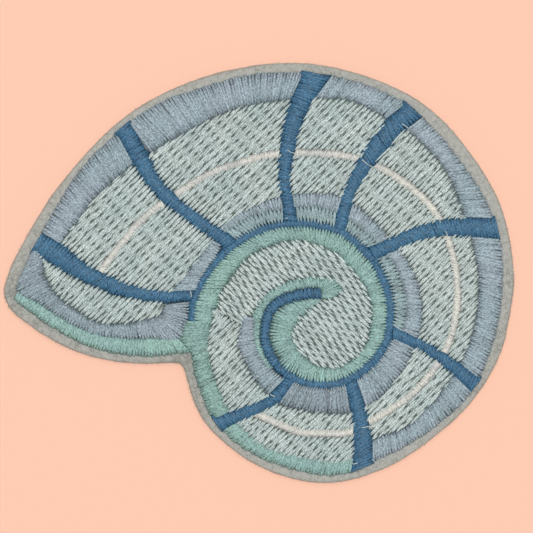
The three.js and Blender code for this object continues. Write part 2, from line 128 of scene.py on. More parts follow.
# the cut edge of the felt, once round clockwise from the tip of the mouth
feltOutline = [
    (-31.5, 3.2), (-30.9, 5.5), (-28.9, 9.4), (-26, 13.8), (-20.1, 20.1), (-14.2, 23.5),
    (-8.3, 25.2), (-2.5, 25.7), (3.4, 24.6), (9.3, 21.9), (13.2, 18.2), (17.2, 11.7),
    (18.5, 4.9), (18.1, 1), (17.2, -2.7), (15.2, -6.4), (12.2, -9.7), (6.4, -13.8),
    (0, -15.5), (-6.4, -13.9), (-11.3, -10.2), (-12.9, -7.5), (-13.5, -5.5), (-13.95, -4.1),
    (-14.25, -3.78), (-14.9, -3.7), (-18.1, -3.8), (-22.1, -3.3), (-26, -1.9), (-28.9, -0.1),
    (-30.9, 1.6),
]

# lines that wind clockwise through all chambers
outerEdge = [
    (-28.9, 6.9), (-26.9, 10.7), (-24, 15.2), (-21.5, 17.8), (-18.9, 20.1), (-16.2, 21.8),
    (-13.2, 22.9), (-7.4, 24.5), (-2, 24.7), (3.4, 23.7), (8.4, 21.3), (12.2, 17.4),
    (15.7, 12.2), (17.2, 7.8), (17.2, 2), (16, -3.1), (13.7, -7.3), (8.3, -11.6),
    (4.9, -13.3), (2.5, -14.4), (0, -14.7), (-2.5, -14.3), (-5.4, -13.4), (-8.3, -11.9),
    (-9.9, -10.5), (-11.5, -8.3),
]
fillOuterEdge = [
    (-27.9, 5.3), (-25.7, 8.3), (-22.1, 12.9), (-19.1, 15.4), (-14.2, 18.6), (-10.3, 20.6),
    (-7.4, 21.5), (-3.6, 22.1), (-0.7, 22.2), (2.5, 22), (5.7, 20.4), (8.4, 18.8),
    (11.6, 15.4), (13.5, 10.9), (14.9, 5.4), (14.6, 0), (12.4, -5.1), (9.3, -8.8),
    (7.4, -10.2), (4.9, -11.1), (2.5, -13), (0.5, -13.2), (-2.5, -12.8), (-5.4, -12),
    (-8.3, -9.7), (-10.4, -5.9), (-11.3, -2), (-11.1, -0.5), (-10.6, 1.5),
]
creamCourse = [
    (-22.1, 5.2), (-19.6, 8.5), (-17.6, 10.7), (-14.4, 13), (-11.8, 14.6), (-8.8, 15.8),
    (-4.8, 16.8), (0, 16.8), (2.9, 16.4), (6.9, 14.6), (11, 10.7), (12.9, 4.4),
    (12.2, -1.5), (9.1, -6.2), (4.7, -9.3), (2.5, -10.5), (-0.5, -10.6), (-2.5, -10.5),
    (-6.6, -8.8),
]
fillInnerEdge = [
    (-16.2, 2.4), (-14.9, 3.6), (-11.8, 7.5), (-10.1, 9.7), (-8.3, 11.1), (-4.4, 12.7),
    (-0.7, 13), (1.5, 12.7), (3.4, 11.5), (6.2, 8.8), (8.6, 5.4), (9.6, 1.5),
    (8.5, -3.1), (5.4, -7.2), (2.5, -8.7), (-2.5, -8.4), (-4.6, -7.8), (-6.9, -5.4),
    (-8.3, -2.9), (-8.7, -2), (-8.6, -1), (-8.3, -0.1),
]

# the blue spiral line: centre x and y, width, and width of the pale row on its outer side
spiralCourse = [
    (-13.1, 0.5, 0.88, 0), (-12.9, 2.2, 0.93, 0), (-12.4, 3.5, 0.98, 0), (-11.6, 5, 0.98, 0),
    (-10.5, 6.4, 0.98, 0), (-9.1, 7.7, 0.98, 0.98), (-7.4, 8.8, 0.98, 0.98),
    (-5.4, 9.6, 0.98, 0.98), (-3.4, 9.9, 0.95, 0.98), (-1, 9.8, 0.95, 1.15),
    (1.5, 9.1, 0.98, 0.88), (3.2, 7.9, 1.03, 0.7), (4.6, 6.4, 1.08, 0.78),
    (5.7, 4.3, 1.08, 0.98), (6.3, 2.2, 1.08, 0.88), (6.3, 0.3, 1.13, 0.7),
    (5.9, -1.8, 1.18, 0), (4.7, -3.6, 1.18, 0), (3.1, -4.9, 1.13, 0), (1, -5.8, 1.08, 0),
    (-1.2, -5.8, 1.08, 0), (-3.1, -5.2, 1.08, 0), (-4.8, -3.8, 1.08, 0.5),
    (-5.8, -2, 1.03, 0.7), (-5.9, -0.1, 1.03, 0.78), (-5.4, 1.4, 1.08, 0.78),
    (-4.4, 2.4, 1.13, 0.78), (-3.2, 2.8, 1.18, 0.88), (-1.9, 3.1, 1.18, 0.93),
    (-0.5, 3.1, 1.18, 0.88),
]
greenInnerEdge = [
    (-11.1, 0.4), (-10.5, 1.9), (-10.2, 3.2), (-9.4, 4.6), (-8.4, 5.8), (-7.3, 6.9),
    (-6, 7.6), (-4.5, 8.1), (-2.9, 8.3), (-1.1, 8), (0.6, 7.3), (2, 6.1), (3.1, 4.9),
    (4, 3.6), (4.5, 2.1), (4.5, 0.3), (4.1, -1.7), (3.2, -2.9), (2.2, -3.8), (0.7, -4.2),
    (-0.8, -4), (-2.1, -3), (-2.8, -2.2), (-3.3, -1.4), (-3.2, -0.5), (-2.9, 0.1),
    (-2.4, 0.8), (-1.9, 1.4), (-1.2, 1.9), (-0.4, 2.4),
]

# the eight ribs, clockwise from the mouth, from the outer end inwards: centre and width
ribCourses = [
    [(-29.5, 8.7, 2.5), (-26, 6.8, 2.4), (-24, 5.4, 1.95), (-20.1, 3.6, 1.65),
     (-18.1, 3.1, 1.35), (-15.7, 2.8, 1.2), (-12.9, 3, 1.2)],
    [(-20.6, 20.8, 1.8), (-18.9, 17.7, 1.95), (-17.8, 15.7, 2), (-16.8, 14, 1.7),
     (-15.4, 12.5, 1.75), (-13.7, 11.1, 1.5), (-10.8, 9, 1.6), (-8.6, 7.5, 1.65)],
    [(-0.2, 25.6, 2.8), (-1.3, 23.9, 2.7), (-2.4, 21.8, 2.3), (-3.3, 19.4, 2),
     (-3.7, 17.2, 1.85), (-4, 14.7, 1.45), (-3.8, 12.7, 1.3), (-3.3, 9.8, 1.65)],
    [(9.8, 22.2, 2.3), (8.6, 21.1, 2.35), (6, 18.6, 2.3), (4, 15.9, 1.95), (2.4, 13.1, 1.5),
     (1.3, 9.1, 1.45)],
    [(18, 9.5, 2.2), (16, 9.5, 2.35), (13.7, 9.6, 2.15), (10.5, 9.4, 1.8), (7.2, 8.2, 1.55),
     (4, 6.7, 1.65)],
    [(15.9, -6.8, 1.9), (13.9, -5.2, 1.7), (11.8, -3.5, 1.4), (9.7, -2.1, 1.2),
     (7.9, -1.3, 1.25), (5.9, -0.4, 1.3)],
    [(3.5, -15.4, 2.5), (3.7, -12.4, 2.25), (3.4, -9.1, 1.8), (3, -7.4, 1.55), (2.3, -4.8, 1.55)],
    [(-11.9, -10.2, 1.75), (-10.2, -9.5, 1.7), (-8.2, -8.7, 1.55), (-5.8, -7.7, 1.35),
     (-4.7, -7, 1.3), (-3.2, -4.8, 1.35)],
]

# rows at the mouth and on the left: two edges each, whose points face each other
lipBand = {
    "low": [(-30.4, 2.6), (-28.9, 1.3), (-26, -0.6), (-23, -2.1), (-20.1, -2.8), (-17.2, -3),
            (-13.4, -2.6)],
    "high": [(-30.2, 3.1), (-28.1, 1.9), (-25.4, 0.2), (-22.5, -1), (-19.9, -1.4), (-17.2, -1.4),
             (-14.5, -1.3)],
}
mouthBand = {
    "low": [(-28.6, 7.3), (-29.6, 5.2), (-30.1, 3.4), (-28, 2.2), (-25.3, 0.5), (-22.5, -0.8),
            (-19.9, -1.2), (-17.2, -1.2), (-14.3, -1.2), (-13.8, 0.1), (-13.45, 1.1), (-13.4, 2.2)],
    "high": [(-28.1, 7.5), (-27.7, 6.4), (-27.4, 4.8), (-26.5, 3.1), (-24.7, 1.6), (-22.2, 0.2),
             (-19.9, 0.1), (-17.8, 0.5), (-16.5, 0.8), (-16.1, 1.1), (-15.9, 1.5), (-15.7, 1.9)],
}
leftBand = {
    "low": [(-11, -9.2), (-11.5, -8.3), (-12.2, -6.5), (-12.8, -4.7), (-13.2, -2.7), (-14.3, -1.7),
            (-14.4, -0.7), (-13.8, 0.4)],
    "high": [(-9.3, -8.4), (-9.7, -7.6), (-10.5, -5.9), (-11.1, -3.9), (-11.4, -2.2), (-11.3, -1.3),
             (-11.2, -0.5), (-11.1, 0.3)],
}
hookTurn = {
    "low": [(-0.4, 3.75), (-0.35, 3.4), (-0.35, 3.0), (-0.4, 2.7)],
    "high": [(0.5, 4.6), (1.3, 4.25), (1.6, 3.4), (0.4, 2.6)],
}
fillRoundHook = [(-0.3, 2.35), (0.5, 2.75), (1.4, 3.25), (1.55, 3.6), (1.2, 4.15), (0.5, 4.5)]
fillSeam = [(-7.3, 1.0), (-8.2, 0.0), (-10.9, 1.2)]
seamLine = [(-10.8, 1.4), (-8.2, -0.2)]

feltCourse = smoothLine(feltOutline, closed=True)
spiral = smoothLine(spiralCourse)
spiralWidth, spiralPale = readLine(spiralCourse, np.linspace(0, 1, len(spiral)))[:, 2:].T
spiralHalf = spiralWidth / 2
greenEdge = smoothLine(greenInnerEdge)
spiralRim = radiusLine(besideLine(spiral, spiralHalf))
paleRim = radiusLine(besideLine(spiral, spiralHalf + spiralPale))
rimLine = radiusLine(smoothLine(outerEdge))
fillOuterLine = radiusLine(smoothLine(fillOuterEdge))
fillInnerLine = radiusLine(smoothLine(fillInnerEdge))
creamLine = radiusLine(smoothLine(creamCourse))

# each rib as its earlier and its later edge, going clockwise
ribEdges = []
for course in ribCourses:
    middle = smoothLine(course)
    half = readLine(course, np.linspace(0, 1, len(middle)))[:, 2] / 2
    near = float(sweepOf(middle[0], math.pi))
    edges = {"early": besideLine(middle, -half), "late": besideLine(middle, half)}
    ribEdges.append({**edges, "near": near})

seamSweep = sweepLine(smoothLine(seamLine), 2 * math.pi)
lastChamber = 9
chamberEnds = {}
for index, rib in enumerate(ribEdges):
    if index + 1 < len(ribEdges):
        following = ribEdges[index + 1]
        end = sweepLine(following["early"], following["near"])
    else:
        end = seamSweep
    chamberEnds[index + 2] = {"start": sweepLine(rib["late"], rib["near"]), "end": end}


# points of a chamber at share u from its first rib and share v outwards, between two
# winding lines, grown over its ribs by a reach: radius and sweep are found in a few rounds
meeting = {"firstRadius": 15.0, "rounds": 8}


def chamberPoints(number, u, v, inner, outer, reach=0.0):
    ends = chamberEnds[number]
    startReach, endReach = np.broadcast_to(reach, 2)
    u, v = np.broadcast_arrays(np.asarray(u, float), np.asarray(v, float))

    def meet(edge, side):
        sweep = edge(np.full(u.shape, meeting["firstRadius"]))
        grown = max(side, 0) * endReach - min(side, 0) * startReach
        for _ in range(meeting["rounds"]):
            radius = inner(sweep) + (outer(sweep) - inner(sweep)) * v
            sweep = edge(radius) + side * grown / radius
        return sweep

    sweep = meet(ends["start"], -1) * (1 - u) + meet(ends["end"], 1) * u
    radius = inner(sweep) + (outer(sweep) - inner(sweep)) * v
    return np.stack([-radius * np.cos(sweep), radius * np.sin(sweep)], axis=-1)


def shifted(line, amount):
    return lambda sweep: line(sweep) + amount


print("places of", len(chamberEnds), "chambers and", len(ribEdges), "ribs are ready")


# Node trees

# a socket of a node tree, on which sums, products and powers add Math nodes
class Value:
    def __init__(self, tree, socket):
        self.tree = tree
        self.socket = socket

    def math(self, operation, *others, swapped=False):
        terms = [self, *others]
        if swapped:
            terms.reverse()
        return self.tree.add("ShaderNodeMath", {"operation": operation}, dict(enumerate(terms)))

    def limited(self):
        return self.tree.add("ShaderNodeClamp", None, {"Value": self})

    def __add__(self, other):
        return self.math("ADD", other)

    def __sub__(self, other):
        return self.math("SUBTRACT", other)

    def __rsub__(self, other):
        return self.math("SUBTRACT", other, swapped=True)

    def __mul__(self, other):
        return self.math("MULTIPLY", other)

    def __truediv__(self, other):
        return self.math("DIVIDE", other)

    def __pow__(self, other):
        return self.math("POWER", other)

    def __abs__(self):
        return self.math("ABSOLUTE")

    __radd__ = __add__


# a node tree with one method that adds a node: its type, its settings, and its inputs
class Tree:
    def __init__(self, tree):
        self.tree = tree

    def add(self, kind, settings=None, inputs=None, output=0):
        node = self.tree.nodes.new(kind)
        for name, value in (settings or {}).items():
            setattr(node, name, value)
        for key, value in (inputs or {}).items():
            if isinstance(value, Value):
                self.tree.links.new(value.socket, node.inputs[key])
            else:
                node.inputs[key].default_value = value
        return Value(self, node.outputs[output]) if node.outputs else node

    def vector(self, operation, inputs):
        return self.add("ShaderNodeVectorMath", {"operation": operation}, inputs)

    def combined(self, **parts):
        return self.add("ShaderNodeCombineXYZ", None, parts)

    def parts(self, vector):
        split = self.add("ShaderNodeSeparateXYZ", None, {"Vector": vector})
        return [Value(self, split.socket.node.outputs[axis]) for axis in "XYZ"]

    def mix(self, factor, first, second):
        return self.add("ShaderNodeMix", {"data_type": "RGBA"}, {0: factor, 6: first, 7: second}, 2)

    def noise(self, place, scale, detail=2.0):
        inputs = {"Vector": place, "Scale": scale, "Detail": detail}
        return self.add("ShaderNodeTexNoise", None, inputs)

    def attribute(self, name):
        return self.add("ShaderNodeAttribute", {"attribute_name": name}, output="Fac")

    def place(self):
        return self.add("ShaderNodeTexCoord", output="Object")

    def bump(self, height, distance, strength=1.0):
        inputs = {"Strength": strength, "Distance": distance, "Height": height}
        return self.add("ShaderNodeBump", None, inputs)

    def shade(self, inputs):
        shader = self.add("ShaderNodeBsdfPrincipled", None, inputs)
        self.add("ShaderNodeOutputMaterial", None, {"Surface": shader})


# the colour of an eye-read value from 0 to 255, as Blender's shaders take it
def linear(colour, share=1.0):
    parts = [part / 255 for part in colour]
    curved = [part / 12.92 if part <= 0.04045 else ((part + 0.055) / 1.055) ** 2.4
              for part in parts]
    return tuple(part * share for part in curved) + (1.0,)


def newMaterial(name):
    material = bpy.data.materials.new(name)
    material.use_nodes = True
    material.node_tree.nodes.clear()
    return material, Tree(material.node_tree)


def addObject(name, data):
    piece = bpy.data.objects.new(name, data)
    bpy.context.scene.collection.objects.link(piece)
    return piece


# Thread material

# plies show as slanting grooves, bumped and painted with shade and highlight, fibres as streaks,
# and each stitch has its own tone; painted shade darkens threads at needle holes and on flanks
threadFinish = {
    "grooveSpacing": 0.42 * mm, "grooveSlant": 2.0, "grooveDepth": 0.02 * mm, "plyShadeShare": 0.25,
    "plyPower": 0.7, "plyMiddle": 0.7, "streakSpacing": 0.26 * mm, "streakShare": 2.3,
    "streakNoise": (1.3, 3.0), "toneShare": 0.25, "holeShadeShare": 0.8, "flankShadeShare": 0.15,
    "flankShadePower": 3.0, "darkShare": 0.42, "lightShare": 1.5, "tintScale": 300.0,
    "tintContrast": 4.0, "toneTurn": 40.0, "toneShift": 90.0, "darkTint": (1.0, 1.0, 1.0),
    "roughness": 0.4, "sheen": 0.04, "specular": 0.35,
}


def makeThreadMaterial(name, finish):
    colour, tint = finish["colour"], finish["tint"]
    material, tree = newMaterial(name)
    along, across, tone, depth = [
        tree.attribute(key) for key in ("along", "across", "tone", "depth")
    ]
    turn = along * (math.pi / finish["grooveSpacing"]) + across * finish["grooveSlant"]
    turn = turn + tone * finish["toneTurn"]
    ply = abs(turn.math("SINE")) ** finish["plyPower"]
    fibre = tree.combined(
        X=along * (1.0 / finish["streakSpacing"]), Y=across, Z=tone * finish["toneShift"])
    streak = tree.noise(fibre, *finish["streakNoise"])
    patch = tree.noise(tree.place(), finish["tintScale"], 1.0)
    # lightness: random tone and fibre streaks, plus painted shade and highlight along the plies and
    # painted shade at the needle holes and on the thread's flanks
    light = (0.5 + (tone - 0.5) * finish["toneShare"] + (streak - 0.5) * finish["streakShare"]
             + (ply - finish["plyMiddle"]) * finish["plyShadeShare"] - depth * finish["holeShadeShare"]
             - abs(across) ** finish["flankShadePower"] * finish["flankShadeShare"])
    hue = ((patch - 0.5) * finish["tintContrast"] + 0.5).limited()
    tinges = (*finish["darkTint"], 1)
    # the dark end is the thread's colour in painted shade, also reached by darker random tone;
    # darkTint tints that painted shade
    deep, deepTint = [
        tuple(part * tinge * finish["darkShare"] for part, tinge in zip(linear(shown), tinges))
        for shown in (colour, tint)
    ]
    dark = tree.mix(hue, deep, deepTint)
    pale = tree.mix(hue, linear(colour, finish["lightShare"]), linear(tint, finish["lightShare"]))
    tree.shade({
        "Base Color": tree.mix(light.limited(), dark, pale), "Roughness": finish["roughness"],
        "Sheen Weight": finish["sheen"], "Specular IOR Level": finish["specular"],
        "Normal": tree.bump(ply, finish["grooveDepth"]),
    })
    return material


# each thread's colour, and the tint that it drifts to from place to place
threadColours = {
    "blue": {"colour": (64, 110, 140), "tint": (60, 105, 136), "streakShare": 2.6},
    "lavender": {"colour": (154, 168, 177), "tint": (148, 166, 173), "toneShare": 0.3},
    "seafoam": {"colour": (143, 178, 169), "tint": (140, 173, 168)},
    "pale": {"colour": (150, 172, 174), "tint": (143, 166, 170)},
    "fill": {"colour": (190, 199, 196), "tint": (183, 195, 193), "darkTint": (0.92, 1.04, 1.0),
             "darkShare": 0.47},
    "cream": {"colour": (219, 218, 208), "tint": (204, 205, 200), "plyShadeShare": 0.1,
              "toneShare": 0.15, "streakShare": 1.3, "holeShadeShare": 1.3, "grooveDepth": 0.005 * mm},
}
threads = {name: makeThreadMaterial(f"{name}Thread", {**threadFinish, **look})
           for name, look in threadColours.items()}


# Stitches

# how sharply a stitch rises and takes painted shade at its holes, and the noise that makes it
# wander
stitchForm = {"archPower": 0.7, "shadePower": 1.2, "wanderScale": 900.0, "wanderShift": 30.0}


# Geometry Nodes: every edge of a mesh becomes one stitch, an arched, flattened thread
def makeStitchTree(form=stitchForm):
    group = bpy.data.node_groups.new("stitchThreads", "GeometryNodeTree")
    sockets = [
        ("Stitches", "Geometry"), ("Thread Width", "Float"), ("Thread Height", "Float"),
        ("Points", "Int"), ("Sides", "Int"), ("Wobble", "Float"), ("Seed", "Int"),
        ("Thread", "Material"),
    ]
    names = {}
    for name, kind in sockets:
        socket = group.interface.new_socket(name, in_out="INPUT", socket_type=f"NodeSocket{kind}")
        names[name] = socket.identifier
    group.interface.new_socket("Threads", in_out="OUTPUT", socket_type="NodeSocketGeometry")
    tree = Tree(group)
    given = group.nodes.new("NodeGroupInput")
    asked = {name: Value(tree, given.outputs[name]) for name, kind in sockets}

    def made(kind, inputs, settings=None, output=0):
        return tree.add(f"GeometryNode{kind}", settings, inputs, output)

    def named(name, kind="FLOAT_VECTOR"):
        return made("InputNamedAttribute", {"Name": name}, {"data_type": kind}, "Attribute")

    def stored(shape, name, value):
        inputs = {"Geometry": shape, "Name": name, "Value": value}
        return made("StoreNamedAttribute", inputs, {"data_type": "FLOAT", "domain": "POINT"})

    lines = made("MeshToCurve", {"Mesh": asked["Stitches"]})
    lines = made("ResampleCurve", {"Curve": lines, "Count": asked["Points"]})

    # points stand closer near the two needle holes
    step = made("SplineParameter", None, output="Factor")
    eased = 0.5 - (step * math.pi).math("COSINE") * 0.5
    length = made("SplineLength", None, output="Length")
    fromHole = eased.math("MINIMUM", 1.0 - eased) * length
    past = eased.math("GREATER_THAN", 0.5)
    start, finish, top = tree.parts(named("heights"))
    startTaper, finishTaper, tipLength = tree.parts(named("tips"))
    climb = 1.0 - (fromHole / named("rise", "FLOAT")).limited()
    rise = (1.0 - climb * climb).math("MAXIMUM", 0.0) ** form["archPower"]
    startShade, finishShade = tree.parts(named("shades"))[:2]
    hole, taper, shade = [first + (second - first) * past for first, second in (
        (start, finish), (startTaper, finishTaper), (startShade, finishShade))]
    lift = tree.combined(Z=hole + (top - hole) * rise)
    narrowing = 1.0 - (fromHole / tipLength).limited()
    girth = named("girth", "FLOAT") * (1.0 - taper * narrowing * narrowing)

    place = made("InputPosition", None)
    clouds = tree.add("ShaderNodeTexNoise", {"noise_dimensions": "4D"}, {
        "Vector": place, "W": named("tone", "FLOAT") * form["wanderShift"] + asked["Seed"],
        "Scale": form["wanderScale"], "Detail": 1.0,
    }, "Color")
    centred = tree.vector("SUBTRACT", {0: clouds, 1: (0.5, 0.5, 0.5)})
    drift = tree.vector("SCALE", {"Vector": centred, "Scale": asked["Wobble"] * rise})
    slide = tree.vector("SCALE", {"Vector": named("chord"), "Scale": eased - step})
    moved = tree.vector("ADD", {0: tree.vector("ADD", {0: slide, 1: lift}), 1: drift})
    marked = stored(lines, "along", eased * length)
    # painted shade: the thread is darker where it dips into its needle holes, as much as each end's
    # shade says
    marked = stored(marked, "depth", (1.0 - rise) ** form["shadePower"] * shade)
    marked = stored(marked, "width", girth)
    arched = made("SetPosition", {"Geometry": marked, "Offset": moved})
    upright = made("SetCurveNormal", {"Curve": arched}, {"mode": "Z_UP"})

    circle = made("CurvePrimitiveCircle", {"Resolution": asked["Sides"], "Radius": 0.5})
    sideways = tree.parts(place)[0]
    section = stored(circle, "across", sideways * 2.0)
    size = tree.combined(X=asked["Thread Width"], Y=asked["Thread Height"], Z=1.0)
    section = made("Transform", {"Geometry": section, "Scale": size})
    tubes = made("CurveToMesh", {
        "Curve": upright, "Profile Curve": section, "Scale": named("width", "FLOAT"),
        "Fill Caps": True})
    smooth = made("SetShadeSmooth", {"Geometry": tubes})
    real = made("RealizeInstances", {"Geometry": smooth})
    dressed = made("SetMaterial", {"Geometry": real, "Material": asked["Thread"]})
    output = group.nodes.new("NodeGroupOutput")
    group.links.new(dressed.socket, output.inputs[0])
    return group, names


stitchTree, stitchInputs = makeStitchTree()
body = "root"
triangles = {}


# runs a node tree on an object and keeps the result as its plain mesh
def settle(piece, group, inputs, values):
    modifier = piece.modifiers.new("threads", "NODES")
    modifier.node_group = group
    for name, value in values.items():
        modifier[inputs[name]] = value
    settled = piece.evaluated_get(bpy.context.evaluated_depsgraph_get())
    mesh = bpy.data.meshes.new_from_object(settled)
    piece.modifiers.remove(modifier)
    piece.data = mesh
    mesh.name = piece.name
    triangles[piece.name] = sum(len(face.vertices) - 2 for face in mesh.polygons)


def attach(piece, slot, *nodes):
    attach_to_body(piece, body)
    if nodes:
        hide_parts(*nodes)


# adds a low pad of underlay to a piece: closed meshes of corners in millimetres, and their faces,
# with one share of painted shade on all of them
def addPads(piece, pads, depth):
    joined = bmesh.new()
    joined.from_mesh(piece.data)
    layer = joined.verts.layers.float.get("depth")
    for corners, faces in pads:
        made = [joined.verts.new((corner + [*spiralEye, feltTop]) * mm) for corner in corners]
        for vertex in made:
            vertex[layer] = depth
        for face in faces:
            joined.faces.new([made[index] for index in face]).smooth = True
    joined.to_mesh(piece.data)
    joined.free()


# the faces between each ring of points and the next, where each ring has as many points
def ringFaces(rings, around):
    faces = []
    for near in range(0, (rings - 1) * around, around):
        for spot in range(around):
            after = (spot + 1) % around
            faces.append((near + spot, near + after, near + around + after, near + around + spot))
    return faces


# the underlay of a satin row: a strip between its two edges, rounded across
def rowPad(low, high, pad):
    shares = np.array(pad["shares"])
    swell = 1 - np.abs(2 * shares - 1) ** pad["roundness"]
    width = np.linalg.norm(high - low, axis=1)
    height = np.minimum(pad["height"], pad["heightPerWidth"] * width)
    inset = (pad["inset"] / np.maximum(width, 2 * pad["inset"]))[:, None]
    places = inset + (1 - 2 * inset) * shares
    points = low[:, None] + (high - low)[:, None] * places[..., None]
    tops = np.dstack([points, height[:, None] * swell])
    feet = np.dstack([points[:, ::-1][:, [0, -1]], np.full((len(low), 2), -pad["sink"])])
    rings = np.concatenate([tops, feet], axis=1)
    corners = rings.reshape(-1, 3)
    around = rings.shape[1]
    ends = [range(around)[::-1], range(len(corners) - around, len(corners))]
    return corners, [*ringFaces(len(rings), around), *ends]


# the underlay of a filled area: its outline, a little lower than the threads
def areaPad(outline, pad):
    count = len(outline)
    if turnOf(outline) < 0:
        outline = outline[::-1]
    levels = (-pad["sink"], pad["height"])
    corners = np.vstack([np.column_stack([outline, np.full(count, level)]) for level in levels])
    return corners, [range(count)[::-1], range(count, 2 * count), *ringFaces(2, count)]


# twice the area inside a closed line, above zero where it runs anticlockwise
def turnOf(outline):
    after = np.roll(outline, -1, axis=0)
    return float(np.sum(outline[:, 0] * after[:, 1] - outline[:, 1] * after[:, 0]))


# one piece of many stitches, each from one needle hole to the next, in millimetres
def sewPiece(name, stitches, nodes, thread, seed):
    draws = np.random.default_rng(seed)
    held = {key: np.array([stitch[key] for stitch in stitches]) for key in stitches[0]}
    count = len(stitches)
    points = np.stack([held["from"], held["to"]], axis=1).reshape(-1, 2) + spiralEye
    corners = np.column_stack([points, np.full(2 * count, feltTop)]) * mm
    mesh = bpy.data.meshes.new(name)
    mesh.from_pydata(corners.tolist(), np.arange(2 * count).reshape(-1, 2).tolist(), [])
    chords = held["to"] - held["from"]
    halves = np.linalg.norm(chords, axis=1) / 2
    columns = {
        "heights": held["heights"] * mm,
        "tips": np.column_stack([held["tapers"], np.minimum(thread["tip"], halves) * mm]),
        "shades": np.column_stack([held["shades"], np.zeros(count)]),
        "chord": np.column_stack([chords, np.zeros(count)]) * mm,
        "tone": draws.uniform(*thread["tones"], count),
        "girth": draws.normal(1, thread["uneven"], count),
        "rise": np.minimum(held["rise"], halves) * mm,
    }
    for key, rows in columns.items():
        spread = np.repeat(rows, 2, axis=0).astype(np.float32)
        kind, field = ("FLOAT_VECTOR", "vector") if spread.ndim == 2 else ("FLOAT", "value")
        mesh.attributes.new(key, kind, "POINT").data.foreach_set(field, spread.ravel())
    piece = addObject(name, mesh)
    settle(piece, stitchTree, stitchInputs, {
        "Thread Width": thread["width"] * mm, "Thread Height": thread["height"] * mm,
        "Points": thread["points"], "Sides": thread["sides"], "Wobble": thread["wobble"] * mm,
        "Seed": seed, "Thread": threads[thread["colour"]],
    })
    attach(piece, thread.get("slot", f"{thread['colour']}_thread"), *nodes)
    return piece


# a satin row: threads run to and fro between two edges, and neighbours share a needle hole
def satinStitches(low, high, row, seed):
    draws = np.random.default_rng(seed)
    steps = np.max([np.linalg.norm(np.diff(edge, axis=0), axis=1) for edge in (low, high)], axis=0)
    reach = np.concatenate([[0], np.cumsum(steps)])
    count = max(row["fewest"], int(round(reach[-1] / row["pitch"])))
    places = np.linspace(0, reach[-1], count + 1) + draws.normal(0, row["uneven"], count + 1)
    width = np.interp(places, reach, np.linalg.norm(high - low, axis=1))
    share = np.clip(places / reach[-1], 0, 1)
    lean = np.interp(share, np.linspace(0, 1, len(row["lean"])), row["lean"])
    shift = lean * width / 2
    needles = []
    for index in range(count + 1):
        side = index % 2
        style = row["high"] if side else row["low"]
        at = places[index] + (shift[index] if side else -shift[index])
        here = [np.array([np.interp(at, reach, edge[:, axis]) for axis in (0, 1)])
                for edge in (low, high)]
        across = (here[1] - here[0]) / max(np.linalg.norm(here[1] - here[0]), tiny)
        past = style["over"] + draws.normal(0, row["stray"])
        needles.append((here[side] + across * (past if side else -past), style))
    stitches = []
    for (first, firstStyle), (second, secondStyle) in zip(needles, needles[1:]):
        span = np.linalg.norm(second - first)
        top = stitchTop(row, span, draws)
        stitches.append(joinedEnds(first, second, top, row["rise"] * span, firstStyle, secondStyle))
    return stitches


# how high a stitch of a row or fill arches: less where it is short
def stitchTop(row, span, draws):
    top = min(row["top"], row["shortTop"] + row["topPerSpan"] * span)
    return top * draws.normal(1, row["topUneven"])


# a stitch between two needle holes: height and taper say how each of its ends lies, and shade how
# much painted shade it takes there
def joinedEnds(first, second, top, rise, firstStyle, secondStyle):
    styles = (firstStyle, secondStyle)
    return {
        "from": first, "to": second, "rise": rise,
        "heights": (*[style["height"] for style in styles], top),
        "tapers": [style["taper"] for style in styles],
        "shades": [style["shade"] for style in styles],
    }


# a filled area: threads side by side, which dip at needle holes that are offset from row to row
def fillStitches(outline, fill, seed):
    draws = np.random.default_rng(seed)
    angle = math.radians(fill["angle"])
    along = np.array([math.cos(angle), math.sin(angle)])
    over = np.array([math.sin(angle), -math.cos(angle)])
    flat = np.stack([outline @ along, outline @ over], axis=-1)
    following = np.roll(flat, -1, axis=0)
    pitch, length = fill["rowPitch"], fill["stitch"]
    first = int(math.ceil(flat[:, 1].min() / pitch))
    last = int(math.floor(flat[:, 1].max() / pitch))
    stitches = []
    for number in range(first, last + 1):
        level = number * pitch
        crosses = (flat[:, 1] <= level) != (following[:, 1] <= level)
        a, b = flat[crosses], following[crosses]
        hits = np.sort(a[:, 0] + (level - a[:, 1]) / (b[:, 1] - a[:, 1]) * (b[:, 0] - a[:, 0]))
        for begin, end in zip(hits[::2], hits[1::2]):
            begin += draws.normal(0, fill["stray"])
            end += draws.normal(0, fill["stray"])
            if end - begin < fill["shortest"]:
                continue
            phase = (number * fill["shift"] * length) % length
            firstHole = math.ceil((begin - phase) / length)
            lastHole = math.floor((end - phase) / length)
            inner = np.arange(firstHole, lastHole + 1)
            inner = inner * length + phase + draws.normal(0, fill["holeStray"], len(inner))
            inner = inner[(inner > begin + fill["edgeGap"]) & (inner < end - fill["edgeGap"])]
            stops = [begin, *inner, end]
            turn = (0.5 if number % 2 else -0.5) * pitch * fill["turn"]
            sides = [turn] + [0.0] * len(inner) + [-turn]
            styles = [fill["edge"]] + [fill["hole"]] * len(inner) + [fill["edge"]]
            levels = [level + side + draws.normal(0, fill["uneven"]) for side in sides]
            holes = [along * stop + over * height for stop, height in zip(stops, levels)]
            for index in range(len(stops) - 1):
                top = stitchTop(fill, stops[index + 1] - stops[index], draws)
                ends = styles[index:index + 2]
                stitches.append(joinedEnds(*holes[index:index + 2], top, fill["rise"], *ends))
    return stitches


# how a stitch ends: down on the felt, as a point on its neighbour, or under its neighbour,
# how far over the edge of its row, and how much painted shade darkens it there
rimEnd = {"over": 0.04, "height": 0.02, "taper": 0.0, "shade": 0.35}
toothEnd = {"over": 0.3, "height": 0.6, "taper": 0.9, "shade": 0.0}
tuckedEnd = {"over": 0.14, "height": 0.0, "taper": 0.15, "shade": 0.8}
needleHole = {"over": 0.0, "height": -0.02, "taper": 0.92, "shade": 0.62}

